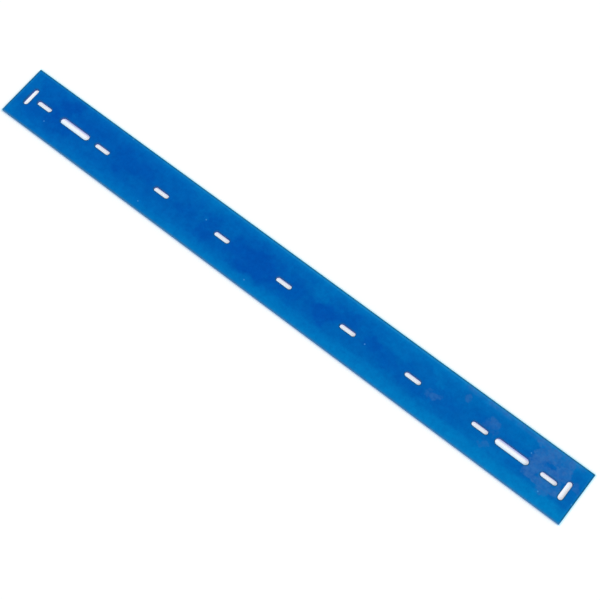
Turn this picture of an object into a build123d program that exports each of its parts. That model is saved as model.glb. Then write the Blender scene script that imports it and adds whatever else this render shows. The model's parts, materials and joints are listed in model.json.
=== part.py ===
from build123d import *
import os

# Flexible polyurethane blade for the bottom edge of a 54 inch ATV snow plow.
# It is one flat strip, cut from cast sheet, with a row of slots for the bolts that clamp it
# under the plow. X runs along the strip, Y across it and Z through its thickness. The origin is
# the middle of the underside, the face that it lies on.

INCH = 25.4

# The strip.
length = 54 * INCH
width = 4.625 * INCH
thickness = 0.25 * INCH
corner_radius = 1.5
edge_break = 0.3

# Nine bolt slots in one row along the middle of the strip, for 3/8 inch bolts.
slot_count = 9
slot_pitch = 6.125 * INCH
slot_length = 36.0
slot_width = 10.0

# A longer, wider slot for a 1/2 inch bolt between the last two bolt slots at each end.
long_slot_spread = 42.5 * INCH
long_slot_length = 74.0
long_slot_width = 14.3

# A slot across the strip near each end, outside the row.
cross_slot_inset = 1.0625 * INCH
cross_slot_length = 1.625 * INCH
cross_slot_width = 10.0

with BuildPart() as blade:
    with BuildSketch():
        RectangleRounded(length, width, corner_radius)
        with GridLocations(slot_pitch, 0, slot_count, 1):
            SlotOverall(slot_length, slot_width, mode=Mode.SUBTRACT)
        with GridLocations(long_slot_spread, 0, 2, 1):
            SlotOverall(long_slot_length, long_slot_width, mode=Mode.SUBTRACT)
        with GridLocations(length - 2 * cross_slot_inset, 0, 2, 1):
            SlotOverall(cross_slot_length, cross_slot_width, rotation=90, mode=Mode.SUBTRACT)
    extrude(amount=thickness)

    # The cut edges of both faces, the slots' too, are very slightly rounded.
    faces = blade.faces().filter_by(Axis.Z)
    fillet(faces.edges(), radius=edge_break)
blade.part.label = "blade_strip"

os.makedirs("parts", exist_ok=True)
export_step(blade.part, "parts/blade_strip.step")
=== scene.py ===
import json
from math import ceil, cos, hypot, pi, radians, sin

import bpy
from mathutils import Matrix, Vector, noise
from mathutils.geometry import delaunay_2d_cdt


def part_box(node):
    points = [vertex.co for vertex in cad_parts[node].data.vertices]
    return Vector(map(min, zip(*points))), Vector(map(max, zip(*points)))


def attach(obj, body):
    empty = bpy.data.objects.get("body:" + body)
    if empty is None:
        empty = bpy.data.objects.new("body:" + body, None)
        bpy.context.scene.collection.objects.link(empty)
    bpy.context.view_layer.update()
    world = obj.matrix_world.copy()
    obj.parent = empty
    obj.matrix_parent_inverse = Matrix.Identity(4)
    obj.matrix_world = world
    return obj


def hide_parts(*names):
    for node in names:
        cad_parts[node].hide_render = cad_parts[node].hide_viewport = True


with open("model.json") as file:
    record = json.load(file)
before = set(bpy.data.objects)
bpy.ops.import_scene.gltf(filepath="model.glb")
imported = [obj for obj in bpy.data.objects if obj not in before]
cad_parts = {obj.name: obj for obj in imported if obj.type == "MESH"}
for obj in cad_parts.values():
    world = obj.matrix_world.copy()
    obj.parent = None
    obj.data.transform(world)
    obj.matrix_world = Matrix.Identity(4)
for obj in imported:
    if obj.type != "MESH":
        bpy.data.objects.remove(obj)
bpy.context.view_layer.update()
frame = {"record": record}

# A flat strip of blue cast polyurethane with a row of slots, lying on a pale studio floor.
# Everything is in metres in the part's own frame: X along the strip, Y across it, Z up.

MM = 0.001
NODE = "blade_strip"
low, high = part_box(NODE)
LENGTH = high.x - low.x
WIDTH = high.y - low.y
TOP = high.z
THICKNESS = high.z - low.z
MIDDLE = (low + high) / 2


# ---------------------------------------------------------------- the strip's shape

CORNER_RADIUS = 1.5 * MM
OUTLINE_STEP = 3.0 * MM
SLOT_STEP = 1.2 * MM
ARC_STEPS = 9

# Radius of a cut edge at the top face and at the underside, and the width of the flat ring that
# lies on each face beside it.
OUTER_EDGE = (0.45 * MM, 0.35 * MM, 0.4 * MM)
SLOT_EDGE = (0.5 * MM, 0.3 * MM, 0.5 * MM)
ROUND_STEPS = 4
WALL_ROWS = 6

# Triangles whose middle is nearer to a slot's rim than this lie inside the slot's ring.
SLOT_RING_REACH = 1.1 * (SLOT_EDGE[0] + SLOT_EDGE[2])

# The points that fill the faces, and how far off along X a slot can still be the nearest one.
GRID_STEP = 4.0 * MM
GRID_CLEARANCE = 2.2 * MM
SLOT_SEARCH = 80 * MM

# The cast top face dips below the full thickness in slow waves and, a little, in quick ones.
DEEPEST_DIP = 0.16 * MM
SLOW_WAVE = (110 * MM, 60 * MM)
QUICK_WAVE = (34 * MM, 26 * MM)
QUICK_SHARE = 0.25


def record_slots():
    """Every slot as (centre x, centre y, half length, half width, runs along X).

    They come from the record's mounts. The centre slot's mount has no sizes, and takes those of the
    pair nearest to it.
    """
    slots = []
    pairs = []
    for mount in frame["record"]["mounts"]:
        dims = mount["dims"]
        if "slot_length_mm" not in dims:
            continue
        half_length = dims["slot_length_mm"] * MM / 2
        half_width = dims["hole_r_mm"] * MM
        x, y, _ = mount["pos_m"]
        if dims["count"] == 1:
            slots.append((x, y, half_length, half_width, False))
            continue
        spread = dims["spacing_x_mm"] * MM / 2
        pairs.append((spread, half_length, half_width))
        for side in (-1, 1):
            slots.append((x + side * spread, y, half_length, half_width, True))
    _, half_length, half_width = min(pairs)
    slots.append((MIDDLE.x, MIDDLE.y, half_length, half_width, True))
    return sorted(slots)


def arc(centre, radius, start, sweep, side):
    """Points with their normals, which point out of the arc if side is 1 and into it if -1."""
    points = []
    for k in range(ARC_STEPS + 1):
        angle = start + sweep * k / ARC_STEPS
        outward = Vector((cos(angle), sin(angle)))
        points.append((centre + outward * radius, outward * side))
    return points


def with_sides(points, step):
    """Fills the straight runs of a closed line of (point, normal), about a step apart."""
    filled = []
    for i, (point, normal) in enumerate(points):
        filled.append((point, normal))
        after, after_normal = points[(i + 1) % len(points)]
        gap = (after - point).length
        if gap > 1.5 * step:
            parts = ceil(gap / step)
            for k in range(1, parts):
                filled.append((point.lerp(after, k / parts), after_normal))
    return filled


def slot_line(x, y, half_length, half_width, along_x):
    """The outline of one slot, clockwise, so that its walls face into it, as its normals do."""
    reach = half_length - half_width
    offset = Vector((reach, 0)) if along_x else Vector((0, reach))
    start = -pi / 2 if along_x else 0
    centre = Vector((x, y))
    points = arc(centre + offset, half_width, start, pi, -1)
    points += arc(centre - offset, half_width, start + pi, pi, -1)
    return with_sides(points[::-1], SLOT_STEP)


def outer_line():
    """The strip's outline, anticlockwise, whose normals point away from it."""
    points = []
    corners = ((1, -1), (1, 1), (-1, 1), (-1, -1))
    for k, (sx, sy) in enumerate(corners):
        centre = Vector((
            MIDDLE.x + sx * (LENGTH / 2 - CORNER_RADIUS),
            MIDDLE.y + sy * (WIDTH / 2 - CORNER_RADIUS),
        ))
        points += arc(centre, CORNER_RADIUS, -pi / 2 + k * pi / 2, pi / 2, 1)
    return with_sides(points, OUTLINE_STEP)


def edge_profile(top_radius, foot_radius, ring_width):
    """(inset, height) from the underside, up a cut wall and onto the top face."""
    profile = [(foot_radius + ring_width, 0.0)]
    for k in range(ROUND_STEPS + 1):
        a = pi / 2 * k / ROUND_STEPS
        profile.append((foot_radius * (1 - sin(a)), foot_radius * (1 - cos(a))))
    start, end = foot_radius, THICKNESS - top_radius
    for k in range(1, WALL_ROWS):
        profile.append((0.0, start + (end - start) * k / WALL_ROWS))
    for k in range(ROUND_STEPS + 1):
        a = pi / 2 * k / ROUND_STEPS
        profile.append((top_radius * (1 - cos(a)), end + top_radius * sin(a)))
    profile.append((top_radius + ring_width, THICKNESS))
    return profile


def undulation(x, y):
    """How far the cast top face dips below the full thickness at a point."""
    slow = noise.noise(Vector((x / SLOW_WAVE[0], y / SLOW_WAVE[1], 3.1)))
    quick = noise.noise(Vector((x / QUICK_WAVE[0], y / QUICK_WAVE[1], 8.4)))
    waves = (1 - QUICK_SHARE) * slow + QUICK_SHARE * quick
    return (0.5 + 0.5 * waves) * DEEPEST_DIP


def strip_walls(slots):
    """The walls along the outline and the slots, with rounded edges, ring by ring.

    Each quad's kind is the place of its material: 0 for the face, 1 for outer walls, 2 for slots.
    """
    lines = [(outer_line(), OUTER_EDGE)]
    for slot in slots:
        lines.append((slot_line(*slot), SLOT_EDGE))
    verts, faces, kinds = [], [], []
    inner_top, inner_foot = [], []
    for k, (line, edge) in enumerate(lines):
        wall_kind = 2 if k else 1
        rings = []
        for inset, height in edge_profile(*edge):
            ring = []
            for point, normal in line:
                p = point - normal * inset
                ring.append(len(verts))
                verts.append(Vector((p.x, p.y, low.z + height)))
            rings.append(ring)
        n = len(line)
        # The wall's material takes in the last step of one rounding and the first of the other.
        first_wall = ROUND_STEPS
        last_wall = len(rings) - 2 - ROUND_STEPS
        for r in range(len(rings) - 1):
            for i in range(n):
                j = (i + 1) % n
                faces.append((rings[r][i], rings[r][j], rings[r + 1][j], rings[r + 1][i]))
                kinds.append(wall_kind if first_wall <= r <= last_wall else 0)
        inner_foot.append(rings[0])
        inner_top.append(rings[-1])
    return verts, faces, kinds, inner_foot, inner_top


def slot_distance(x, y, slot):
    """Distance from a point to the rim of one slot, below zero inside it."""
    sx, sy, half_length, half_width, along_x = slot
    reach = half_length - half_width
    along, across = (x - sx, y - sy) if along_x else (y - sy, x - sx)
    return hypot(max(abs(along) - reach, 0), across) - half_width


def rim_distance(x, y, slots):
    """Distance from a point on a face to the nearest cut edge."""
    from_side = WIDTH / 2 - abs(y - MIDDLE.y)
    from_end = LENGTH / 2 - abs(x - MIDDLE.x)
    near = [s for s in slots if abs(s[0] - x) < SLOT_SEARCH]
    return min([from_side, from_end] + [slot_distance(x, y, s) for s in near])


def fill_faces(verts, faces, kinds, inner_foot, inner_top, slots):
    """Fills the top face and the underside, between their rings, with the same triangles."""
    points, top_ids, foot_ids, edges = [], [], [], []
    for top_ring, foot_ring in zip(inner_top, inner_foot):
        base = len(points)
        n = len(top_ring)
        for k in range(n):
            points.append(Vector(verts[top_ring[k]][:2]))
            edges.append((base + k, base + (k + 1) % n))
        top_ids += top_ring
        foot_ids += foot_ring
    row_step = GRID_STEP * 3 ** 0.5 / 2
    rows = int(WIDTH / row_step) + 1
    columns = int(LENGTH / GRID_STEP) + 1
    for row in range(rows):
        for column in range(columns):
            x = low.x + (column + 0.5 * (row % 2)) * GRID_STEP
            y = low.y + (row + 0.5) * row_step
            if rim_distance(x, y, slots) > GRID_CLEARANCE:
                points.append(Vector((x, y)))
                top_ids.append(len(verts))
                verts.append(Vector((x, y, high.z)))
                foot_ids.append(len(verts))
                verts.append(Vector((x, y, low.z)))
    _, _, triangles, origins, _, _ = delaunay_2d_cdt(points, edges, [], 1, 1e-7)
    for triangle in triangles:
        ids = [origins[v][0] for v in triangle]
        x = sum(points[i].x for i in ids) / 3
        y = sum(points[i].y for i in ids) / 3
        if any(slot_distance(x, y, s) < SLOT_RING_REACH for s in slots):
            continue
        faces.append(tuple(top_ids[i] for i in ids))
        faces.append(tuple(foot_ids[i] for i in reversed(ids)))
        kinds += [0, 0]


def make_strip():
    """The strip as one closed mesh that holds each point's distance from the nearest cut edge."""
    slots = record_slots()
    verts, faces, kinds, inner_foot, inner_top = strip_walls(slots)
    fill_faces(verts, faces, kinds, inner_foot, inner_top, slots)
    rims = [max(rim_distance(v.x, v.y, slots), 0.0) for v in verts]
    for v in verts:
        v.z -= undulation(v.x, v.y) * (v.z - low.z) / THICKNESS
    mesh = bpy.data.meshes.new("blade_strip_urethane")
    mesh.from_pydata([tuple(v) for v in verts], [], faces)
    mesh.polygons.foreach_set("use_smooth", [True] * len(faces))
    mesh.polygons.foreach_set("material_index", kinds)
    rim = mesh.attributes.new("rim", "FLOAT", "POINT")
    rim.data.foreach_set("value", rims)
    mesh.update()
    strip = bpy.data.objects.new("blade_strip_urethane", mesh)
    bpy.context.scene.collection.objects.link(strip)
    return strip


# ---------------------------------------------------------------- materials

# How bright a white surface is under this light, which turns a colour as seen into one to paint.
LIGHT_LEVEL = 1.03


def seen(red, green, blue):
    """The base colour of a surface that is seen as this 0 to 255 display colour."""
    linear = []
    for value in (red, green, blue):
        c = value / 255
        light = c / 12.92 if c <= 0.04045 else ((c + 0.055) / 1.055) ** 2.4
        linear.append(light / LIGHT_LEVEL)
    return (*linear, 1)


class Material:
    """A Principled material, with short calls for the nodes that drive it."""

    def __init__(self, name, **constants):
        self.data = bpy.data.materials.new(name)
        self.data.use_nodes = True
        self.tree = self.data.node_tree
        self.shader = self.tree.nodes["Principled BSDF"]
        for socket, value in constants.items():
            self.shader.inputs[socket.replace("_", " ")].default_value = value
        self.coords = self.tree.nodes.new("ShaderNodeTexCoord").outputs["Object"]
        split = self.add("ShaderNodeSeparateXYZ", {0: self.coords})
        self.x, self.y, _ = split.outputs

    def add(self, kind, inputs, **settings):
        node = self.tree.nodes.new(kind)
        for name, value in settings.items():
            setattr(node, name, value)
        for key, value in inputs.items():
            if isinstance(value, bpy.types.NodeSocket):
                self.tree.links.new(value, node.inputs[key])
            else:
                node.inputs[key].default_value = value
        return node

    def math(self, operation, a, b=0.0):
        return self.add("ShaderNodeMath", {0: a, 1: b}, operation=operation).outputs[0]

    def times(self, product, *factors):
        for factor in factors:
            product = self.math("MULTIPLY", product, factor)
        return product

    def vector_math(self, operation, a, b):
        return self.add("ShaderNodeVectorMath", {0: a, 1: b}, operation=operation).outputs[0]

    def span(self, value, start, end, low_value=0.0, high_value=1.0, form="SMOOTHSTEP"):
        """Goes from low_value to high_value as value goes from start to end, and no further."""
        inputs = {0: value, 1: start, 2: end, 3: low_value, 4: high_value}
        return self.add("ShaderNodeMapRange", inputs, interpolation_type=form).outputs[0]

    def noise(self, size, detail=2.0, roughness=0.5, shift=0.0):
        """Noise whose patches are about size across: a length, or one for each of X, Y and Z."""
        sizes = size if isinstance(size, tuple) else (size,) * 3
        place = self.add("ShaderNodeMapping", {
            "Vector": self.coords,
            "Location": (shift, shift, shift),
            "Scale": tuple(1 / s for s in sizes),
        })
        return self.add("ShaderNodeTexNoise", {
            "Vector": place.outputs[0],
            "Scale": 1.0,
            "Detail": detail,
            "Roughness": roughness,
        }).outputs[0]

    def stirred(self, size, reach):
        """The coordinates, pushed about by noise, so that shapes made from them look ragged."""
        place = self.add("ShaderNodeMapping", {"Vector": self.coords, "Scale": (1 / size,) * 3})
        inputs = {"Vector": place.outputs[0], "Scale": 1.0, "Detail": 4.0, "Roughness": 0.6}
        swirl = self.add("ShaderNodeTexNoise", inputs).outputs["Color"]
        push = self.vector_math("SUBTRACT", swirl, (0.5, 0.5, 0.5))
        push = self.vector_math("MULTIPLY", push, (2 * reach,) * 3)
        return self.vector_math("ADD", self.coords, push)

    def blot(self, vector, along, across, half_length, half_width, strength):
        """An ellipse on the face: its strength in the middle, falling to 0 at its outline."""
        x = low.x + along * LENGTH
        y = low.y + across * WIDTH
        rx, ry = half_length * MM, half_width * MM
        place = self.add("ShaderNodeMapping", {
            "Vector": vector,
            "Location": (-x / rx, -y / ry, 0),
            "Scale": (1 / rx, 1 / ry, 0),
        }).outputs[0]
        ball = self.add("ShaderNodeTexGradient", {0: place}, gradient_type="SPHERICAL")
        return self.span(ball.outputs["Fac"], 0.0, 0.55, 0.0, strength)

    def ramp(self, value, stops):
        node = self.add("ShaderNodeValToRGB", {0: value})
        node.color_ramp.interpolation = "EASE"
        elements = node.color_ramp.elements
        elements.remove(elements[1])
        for k, (place, colour) in enumerate(stops):
            element = elements[0] if k == 0 else elements.new(place)
            element.position = place
            element.color = colour
        return node.outputs[0]

    def mix(self, factor, a, b, blend="MIX"):
        inputs = {0: factor, 6: a, 7: b}
        return self.add("ShaderNodeMix", inputs, data_type="RGBA", blend_type=blend).outputs[2]

    def bump(self, height, distance):
        inputs = {"Strength": 1.0, "Distance": distance, "Height": height}
        return self.add("ShaderNodeBump", inputs).outputs[0]

    def drive(self, **sockets):
        """Links values to the shader's sockets and returns the finished material."""
        for name, value in sockets.items():
            self.tree.links.new(value, self.shader.inputs[name.replace("_", " ")])
        return self.data


# Clouds in the urethane and spots of haze on it: how far along and across the strip, from 0 to 1,
# then half length and half width in millimetres, and strength.
DEEP_CLOUDS = (
    (0.078, 0.60, 36, 60, 0.90),
    (0.140, 0.74, 60, 20, 0.25),
    (0.212, 0.60, 80, 38, 0.65),
    (0.314, 0.50, 36, 22, 0.45),
    (0.362, 0.50, 32, 40, 0.60),
    (0.448, 0.50, 96, 46, 0.90),
    (0.517, 0.50, 40, 36, 0.60),
    (0.572, 0.52, 40, 34, 0.80),
    (0.604, 0.62, 34, 30, 0.55),
    (0.651, 0.54, 20, 20, 0.60),
    (0.700, 0.44, 72, 24, 0.35),
    (0.985, 0.35, 24, 18, 0.20),
)
PALE_CLOUDS = (
    (0.010, 0.50, 30, 95, 0.40),
    (0.335, 0.95, 66, 26, 0.45),
    (0.344, 0.62, 14, 42, 0.35),
    (0.550, 0.78, 30, 24, 0.50),
    (0.693, 0.80, 58, 30, 0.40),
    (0.757, 0.80, 26, 20, 0.70),
    (0.760, 0.28, 22, 16, 0.50),
    (0.885, 0.33, 60, 22, 0.35),
    (0.905, 0.66, 14, 50, 0.40),
    (0.957, 0.40, 40, 28, 0.40),
)
HAZE_SPOTS = (
    (0.759, 0.49, 15, 13, 0.60),
    (0.807, 0.79, 12, 11, 0.60),
    (0.850, 0.64, 20, 16, 0.70),
    (0.857, 0.34, 11, 9, 0.45),
    (0.958, 0.31, 24, 10, 0.70),
    (0.992, 0.62, 14, 12, 0.50),
)


def make_face_material():
    """The cast face: clear deep blue and cloudy, with painted light towards its edges and its right
    end, painted shade along its cut edges, and haze at one end.
    """
    m = Material("urethane_face", Specular_IOR_Level=0.15, Specular_Tint=(0.25, 0.6, 1.0, 1.0))
    rim = m.add("ShaderNodeAttribute", {}, attribute_name="rim").outputs["Fac"]
    along = m.span(m.x, low.x, high.x, form="LINEAR")
    across = m.span(m.y, low.y, high.y, form="LINEAR")
    drift = m.math("SUBTRACT", m.noise((0.12, 0.05, 0.05), shift=2.7), 0.5)
    across_drifted = m.math("ADD", across, m.times(drift, 0.14))

    # Painted light: the face is lighter towards its right end and towards its near and far edges.
    left = m.ramp(across_drifted, [
        (0.02, seen(0, 104, 187)),
        (0.11, seen(0, 103, 187)),
        (0.18, seen(0, 97, 184)),
        (0.28, seen(0, 93, 181)),
        (0.50, seen(0, 92, 180)),
        (0.80, seen(0, 94, 182)),
        (0.98, seen(0, 98, 185)),
    ])
    right = m.ramp(across_drifted, [
        (0.02, seen(0, 125, 194)),
        (0.18, seen(0, 120, 192)),
        (0.27, seen(0, 107, 184)),
        (0.38, seen(0, 100, 180)),
        (0.60, seen(0, 99, 180)),
        (0.78, seen(0, 105, 183)),
        (0.98, seen(0, 113, 190)),
    ])
    colour = m.mix(m.span(along, 0.0, 0.95, form="LINEAR"), left, right)

    # Large deep and pale clouds with ragged outlines, and fainter ones all over.
    stirred = m.stirred(0.035, 0.035)
    for cloud in DEEP_CLOUDS:
        colour = m.mix(m.blot(stirred, *cloud), colour, seen(0, 81, 175))
    for cloud in PALE_CLOUDS:
        colour = m.mix(m.blot(stirred, *cloud), colour, seen(0, 114, 190))
    murk = m.noise((0.085, 0.055, 0.055), detail=4.0, roughness=0.55, shift=5.3)
    core = m.times(m.span(across, 0.15, 0.36), m.span(across, 0.95, 0.62))
    colour = m.mix(m.times(m.span(murk, 0.44, 0.62, 0.0, 0.3), core), colour, seen(0, 80, 176))
    veil = m.noise((0.05, 0.035, 0.035), detail=5.0, roughness=0.6, shift=11.9)
    colour = m.mix(m.span(veil, 0.48, 0.72, 0.0, 0.3), colour, seen(0, 112, 190))

    # Painted light gathers towards the outer edges, and most of all in a lip beside them.
    from_side = m.times(m.math("PINGPONG", across, 0.5), WIDTH)
    from_end = m.times(m.math("PINGPONG", along, 0.5), LENGTH)
    border = m.math("MINIMUM", from_side, from_end)
    last = m.span(along, 0.975, 0.990, 1.0, 0.3)
    glow = m.times(
        m.span(border, 18 * MM, 5 * MM, 0.0, 0.4),
        m.span(along, 0.08, 0.40, 0.1, 1.0),
        last,
    )
    colour = m.mix(glow, colour, seen(0, 122, 195))
    painted_lip_light = m.times(
        m.span(border, 7.0 * MM, 4.2 * MM),
        m.span(across, 0.0, 0.15, 0.1, 0.75),
        last,
        m.span(along, 0.10, 0.60, 0.45, 1.0),
    )
    colour = m.mix(painted_lip_light, colour, seen(26, 132, 200))

    # Dusty violet haze before the right end, away from the near edge, thinner along the far edge
    # and in a few spots.
    patch = m.noise((0.026, 0.022, 0.022), detail=5.0, roughness=0.6, shift=7.7)
    place = m.times(
        m.span(along, 0.906, 0.920),
        m.span(along, 0.990, 0.970),
        m.span(across_drifted, 0.24, 0.34),
    )
    haze = m.span(m.math("ADD", patch, m.times(place, 0.34)), 0.68, 0.82)
    haze = m.times(haze, m.span(place, 0.0, 0.3))
    seam = m.times(
        m.span(along, 0.785, 0.800),
        m.span(along, 0.990, 0.975),
        m.span(across, 0.87, 0.95, 0.0, 0.8),
        m.span(patch, 0.40, 0.60, 0.3, 1.0),
    )
    haze = m.math("MAXIMUM", haze, seam)
    for spot in HAZE_SPOTS:
        haze = m.math("MAXIMUM", haze, m.blot(stirred, *spot))
    thin = m.span(m.noise(0.009, detail=3.0, shift=3.9), 0.36, 0.62, 0.35, 0.78)
    colour = m.mix(m.times(haze, thin), colour, seen(50, 110, 181))

    # Fine mottling of the cast sheet, and a few specks of dust.
    grain = m.noise(0.011, detail=5.0, roughness=0.75)
    mottle = m.ramp(grain, [(0.30, (0.90, 0.89, 0.94, 1)), (0.70, (1.10, 1.11, 1.06, 1))])
    colour = m.mix(1.0, colour, mottle, "MULTIPLY")
    cells = {"Vector": m.coords, "Scale": 8.0}
    dots = m.add("ShaderNodeTexVoronoi", cells, feature="F1", voronoi_dimensions="2D")
    dust = m.span(dots.outputs["Distance"], 0.016, 0.006, 0.0, 0.6)
    colour = m.mix(dust, colour, seen(80, 160, 225))

    # Painted shade: a thin darker line along every cut edge, pale and faint along the near edge of
    # the strip, greener along its other edges, and along the slots darker on their near side.
    near_line = m.span(along, 0.30, 0.50, 0.8, 0.55)
    line = m.times(m.span(rim, 3.3 * MM, 0.8 * MM), m.span(across, 0.0, 0.10, near_line, 0.95))
    outer_rim_shade = m.mix(m.span(across, 0.0, 0.10), seen(60, 122, 160), seen(0, 92, 124))
    shaded_slot_side = m.span(m.y, 1.0 * MM, -1.0 * MM)
    slot_rim_shade = m.mix(shaded_slot_side, seen(26, 92, 152), seen(24, 86, 116))
    inside = m.span(border, 10 * MM, 14 * MM)
    line = m.times(line, m.span(inside, 0.0, 1.0, 1.0, 0.85))
    colour = m.mix(line, colour, m.mix(inside, outer_rim_shade, slot_rim_shade))

    wear = m.noise(0.03, detail=4.0, shift=1.3)
    rough = m.math("ADD", m.span(wear, 0.3, 0.7, 0.26, 0.38), m.times(haze, 0.15))
    skin = m.noise(0.0022, detail=2.0)
    return m.drive(Base_Color=colour, Roughness=rough, Normal=m.bump(skin, 0.06 * MM))


def make_cut_material(name, dark, pale):
    """Cut walls: frosted, with fine lines left by the cut."""
    m = Material(name, Specular_IOR_Level=0.3)
    frost = m.noise((0.012, 0.012, 0.004), detail=4.0, roughness=0.6)
    colour = m.ramp(frost, [(0.30, dark), (0.70, pale)])
    lines = m.noise((0.0008, 0.0008, 0.02), detail=2.0)
    rough = m.span(frost, 0.3, 0.7, 0.5, 0.68)
    return m.drive(Base_Color=colour, Roughness=rough, Normal=m.bump(lines, 0.1 * MM))


# The painted fringe of light and shadow on the floor: how far past the strip's far edge and its
# ends it begins to fade, how much nearer that is at the right end, over what width it fades, and
# how far it takes to change from one side to the next.
FRINGE_START = 2.2 * MM
RIGHT_FRINGE_SHIFT = 1.3 * MM
FRINGE_WIDTH = 3.2 * MM
CORNER_BLEND = 0.1 * MM


def make_floor_material():
    """A matt white light table, with painted cyan light beside the strip where the urethane lets
    light out, and painted shadow beside it and inside its slots.
    """
    m = Material("floor_white", Specular_IOR_Level=0.0, Emission_Strength=0.5)
    tone = m.noise(0.4, detail=2.0)
    paper = m.ramp(tone, [(0.3, (0.520, 0.560, 0.585, 1)), (0.7, (0.530, 0.570, 0.595, 1))])
    past_end = m.math("SUBTRACT", m.math("ABSOLUTE", m.x), LENGTH / 2)
    past_side = m.math("SUBTRACT", m.math("ABSOLUTE", m.y), WIDTH / 2)
    gap = m.math("MAXIMUM", past_end, past_side)

    # Beside the strip, painted light and shadow: cyan light past its far and left edges, greyer
    # shadow past the near and right ones.
    near = m.span(m.y, low.y, low.y - CORNER_BLEND)
    right = m.span(m.x, high.x, high.x + CORNER_BLEND)
    start = m.span(near, 0.0, 1.0, FRINGE_START, 0.0)
    start = m.math("SUBTRACT", start, m.times(right, RIGHT_FRINGE_SHIFT))
    end = m.math("ADD", start, FRINGE_WIDTH)
    beside = m.times(m.span(gap, start, end, 1.0, 0.0), m.span(gap, -2.0 * MM, 0.0))
    shade = m.math("MAXIMUM", near, m.times(right, 0.5))
    painted_light_and_shadow = m.mix(shade, (0.54, 0.92, 1.0, 1), (0.60, 0.74, 0.87, 1))
    painted_light_and_shadow = m.mix(beside, (1, 1, 1, 1), painted_light_and_shadow)

    # Painted shadow inside the slots of the row: bluer towards their far walls and, less so, their
    # near ones.
    row = m.times(m.span(gap, 0.0, -2.0 * MM), m.span(past_end, -40 * MM, -42 * MM))
    far_wall_shadow = m.times(row, m.span(m.y, 2.5 * MM, 6.0 * MM))
    painted_light_and_shadow = m.mix(far_wall_shadow, painted_light_and_shadow, (0.63, 0.69, 0.96, 1))
    near_wall_shade = m.times(row, m.span(m.y, -1.0 * MM, -3.5 * MM))
    painted_light_and_shadow = m.mix(near_wall_shade, painted_light_and_shadow, (0.78, 0.97, 1.06, 1))
    colour = m.mix(1.0, paper, painted_light_and_shadow, "MULTIPLY")
    rough = m.span(tone, 0.3, 0.7, 0.85, 0.95)
    return m.drive(Base_Color=colour, Roughness=rough, Emission_Color=painted_light_and_shadow)


# ---------------------------------------------------------------- stage

FLOOR_REACH = 60.0
FLOOR_DROP = 0.1 * MM

# Each lamp's name, azimuth, elevation, strength and angular size.
LAMPS = (
    ("key", 125, 42, 1.95, 40),
    ("fill", 15, 52, 1.45, 40),
)

# The photo's camera, from a fit to the strip's outline and slots: its lens, where it looks, from
# the middle of the strip, and how far away it is, in lengths of the strip, its azimuth and
# elevation, and its roll.
CAMERA_LENS = 86.46
CAMERA_TARGET = (0.03375, -0.00614)
CAMERA_DISTANCE = 2.01988
CAMERA_ANGLE = (38.739, 68.715)
CAMERA_ROLL = -0.308


def make_floor():
    mesh = bpy.data.meshes.new("floor")
    z = low.z - FLOOR_DROP
    corners = ((-1, -1), (1, -1), (1, 1), (-1, 1))
    verts = [(sx * FLOOR_REACH, sy * FLOOR_REACH, z) for sx, sy in corners]
    mesh.from_pydata(verts, [], [(0, 1, 2, 3)])
    floor = bpy.data.objects.new("floor", mesh)
    bpy.context.scene.collection.objects.link(floor)
    mesh.materials.append(make_floor_material())


def direction(azimuth, elevation):
    """Unit vector from the target, azimuth 0 towards -Y and 90 towards +X, in degrees."""
    a, e = radians(azimuth), radians(elevation)
    return Vector((sin(a) * cos(e), -cos(a) * cos(e), sin(e)))


def aim(obj, place, target, roll=0.0):
    """Puts a camera or lamp at a place, looking at the target, rolled by some degrees."""
    turn = (target - place).to_track_quat("-Z", "Y").to_matrix().to_4x4()
    obj.matrix_world = turn
    obj.matrix_world.translation = place
    obj.matrix_world = obj.matrix_world @ Matrix.Rotation(radians(roll), 4, "Z")


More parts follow.
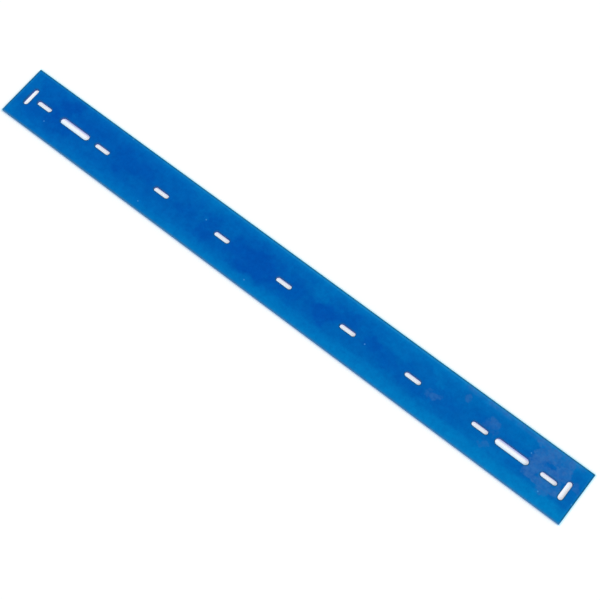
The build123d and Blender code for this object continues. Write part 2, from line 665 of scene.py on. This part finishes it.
def make_lamp(name, azimuth, elevation, strength, spread):
    """A very wide, soft sun, so that the light is the same all over the floor."""
    lamp = bpy.data.lights.new(name, "SUN")
    lamp.energy = strength
    lamp.angle = radians(spread)
    obj = bpy.data.objects.new(name, lamp)
    bpy.context.scene.collection.objects.link(obj)
    aim(obj, MIDDLE + direction(azimuth, elevation), MIDDLE)


def make_world():
    """A plain white studio, bright low down and dark overhead, so that the face stays deep."""
    world = bpy.data.worlds.new("studio")
    bpy.context.scene.world = world
    world.use_nodes = True
    nodes, links = world.node_tree.nodes, world.node_tree.links
    background = nodes["Background"]
    background.inputs["Strength"].default_value = 1.0
    coords = nodes.new("ShaderNodeTexCoord")
    split = nodes.new("ShaderNodeSeparateXYZ")
    ramp = nodes.new("ShaderNodeMapRange")
    ramp.interpolation_type = "SMOOTHSTEP"
    ramp.inputs["From Min"].default_value = 0.12
    ramp.inputs["From Max"].default_value = 0.70
    ramp.inputs["To Min"].default_value = 1.05
    ramp.inputs["To Max"].default_value = 0.03
    links.new(coords.outputs["Generated"], split.inputs[0])
    links.new(split.outputs["Z"], ramp.inputs["Value"])
    links.new(ramp.outputs[0], background.inputs["Color"])


def make_camera():
    camera = bpy.data.cameras.new("camera")
    camera.lens = CAMERA_LENS
    camera.sensor_width = 36.0
    camera.clip_end = 500.0
    obj = bpy.data.objects.new("camera", camera)
    bpy.context.scene.collection.objects.link(obj)
    along, across = CAMERA_TARGET
    target = Vector((MIDDLE.x + along * LENGTH, MIDDLE.y + across * LENGTH, TOP))
    place = target + direction(*CAMERA_ANGLE) * CAMERA_DISTANCE * LENGTH
    aim(obj, place, target, CAMERA_ROLL)
    bpy.context.scene.camera = obj


# ---------------------------------------------------------------- assembly

strip = make_strip()
for material in (
    make_face_material(),
    make_cut_material("urethane_cut", seen(36, 98, 160), seen(62, 120, 178)),
    # The slot walls are the same cut urethane, painted darker as shade inside the slots.
    make_cut_material("urethane_slot_painted_shade", seen(0, 64, 150), seen(6, 82, 166)),
):
    strip.data.materials.append(material)
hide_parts(NODE)
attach(strip, "root")

make_floor()
make_world()
for lamp in LAMPS:
    make_lamp(*lamp)
make_camera()
bpy.context.scene.view_settings.view_transform = "Standard"
